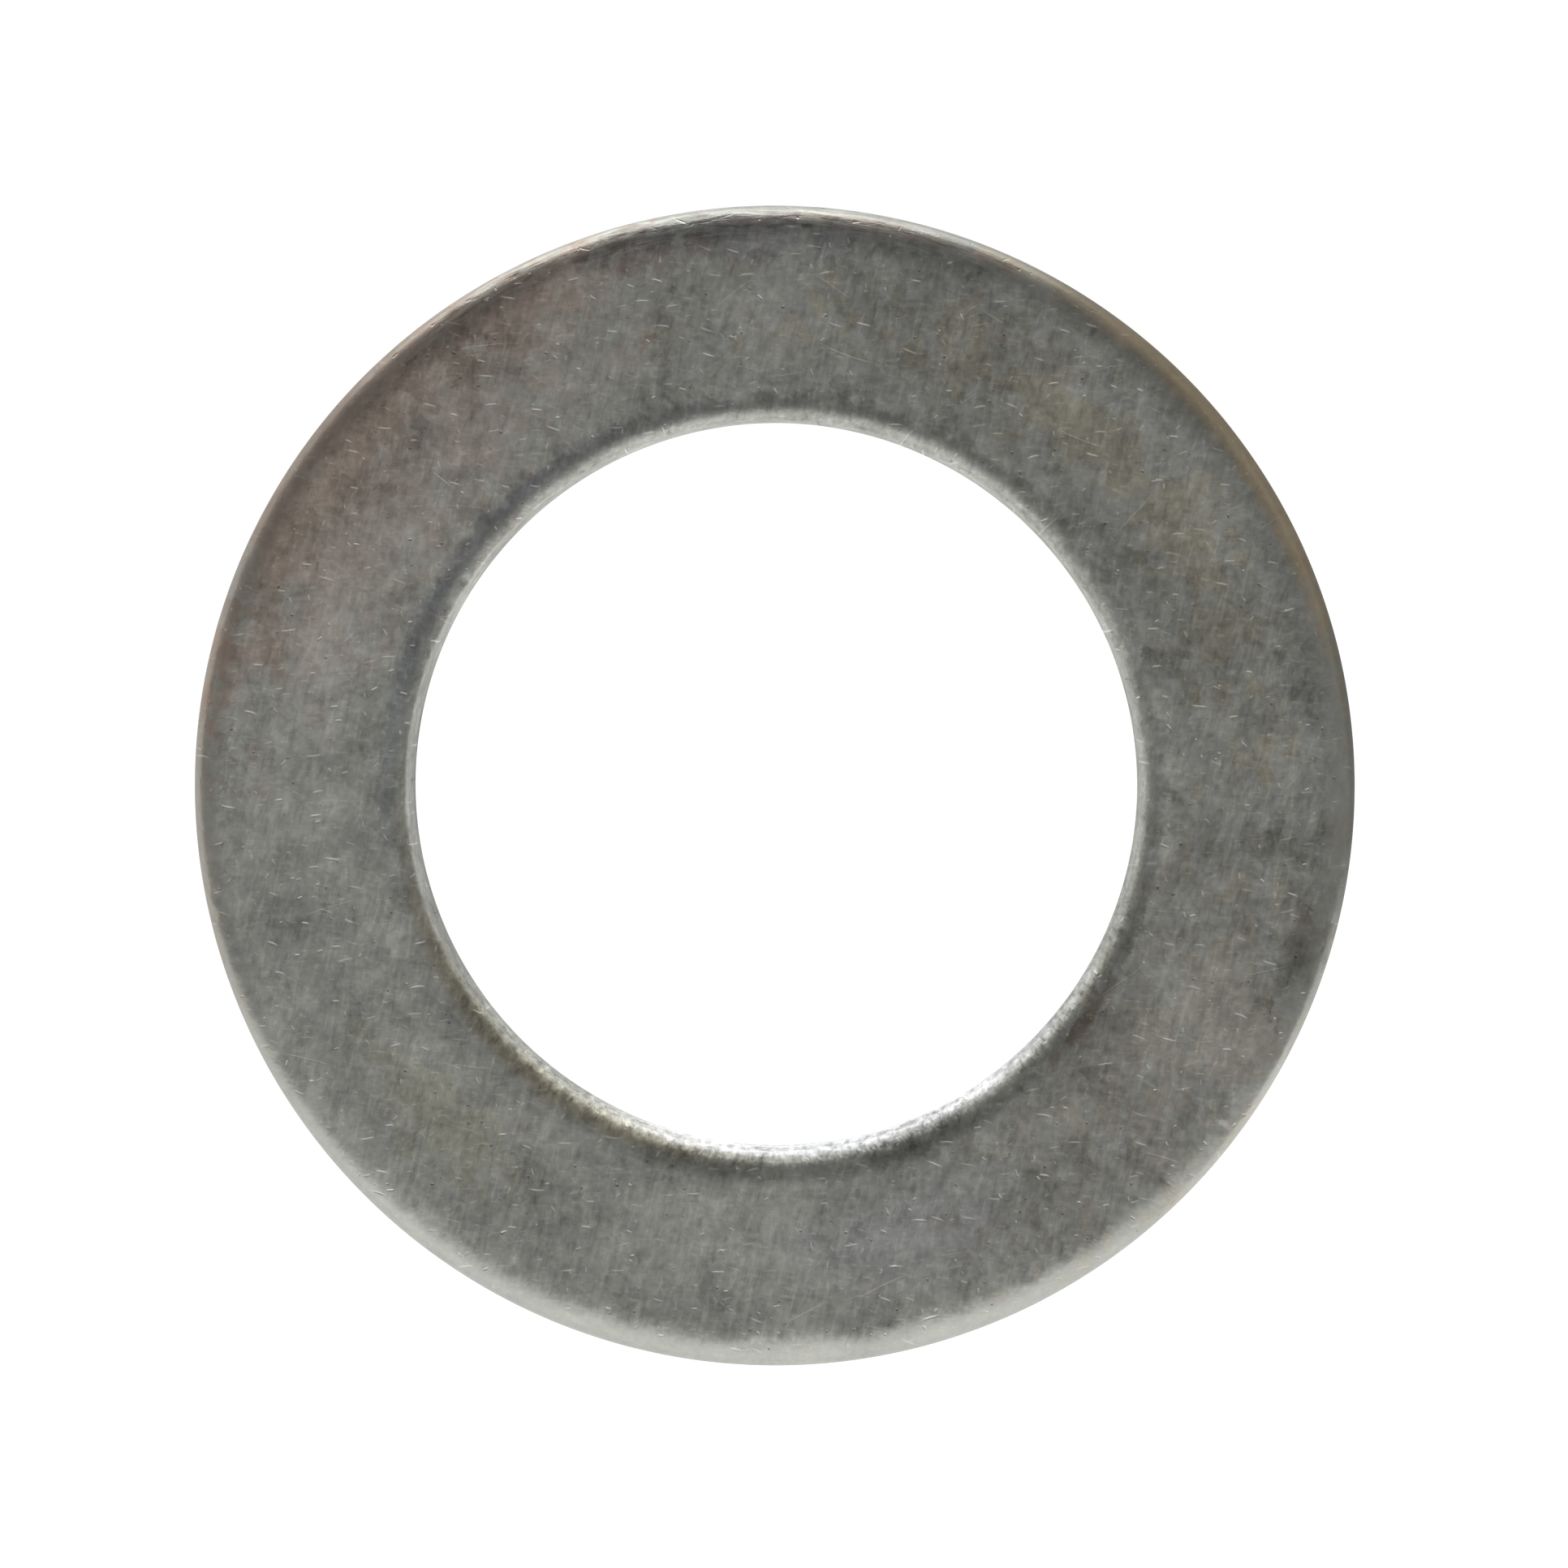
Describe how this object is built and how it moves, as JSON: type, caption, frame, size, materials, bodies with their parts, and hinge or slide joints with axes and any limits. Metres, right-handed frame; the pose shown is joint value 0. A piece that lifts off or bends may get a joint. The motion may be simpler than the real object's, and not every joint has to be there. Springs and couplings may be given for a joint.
{
  "type": "flat washer",
  "caption": "Small-series flat steel washer for an M14 screw, stamped from zinc-plated strip, with a rolled-over rim and tumbled edges.",
  "frame": {"origin": "centre of the lower face, on the axis of the bore", "axes": "+Z along the bore, from the lower face to the upper face, whose rim is rolled over; +X and +Y lie in the lower face"},
  "size_m": [0.024, 0.024, 0.0025],
  "materials": {
    "zinc_steel": "satin zinc-plated steel, fine rolled grain, tumbled, light scratches and pits"
  },
  "bodies": {
    "root": {"washer": "zinc_steel"}
  },
  "joints": []
}
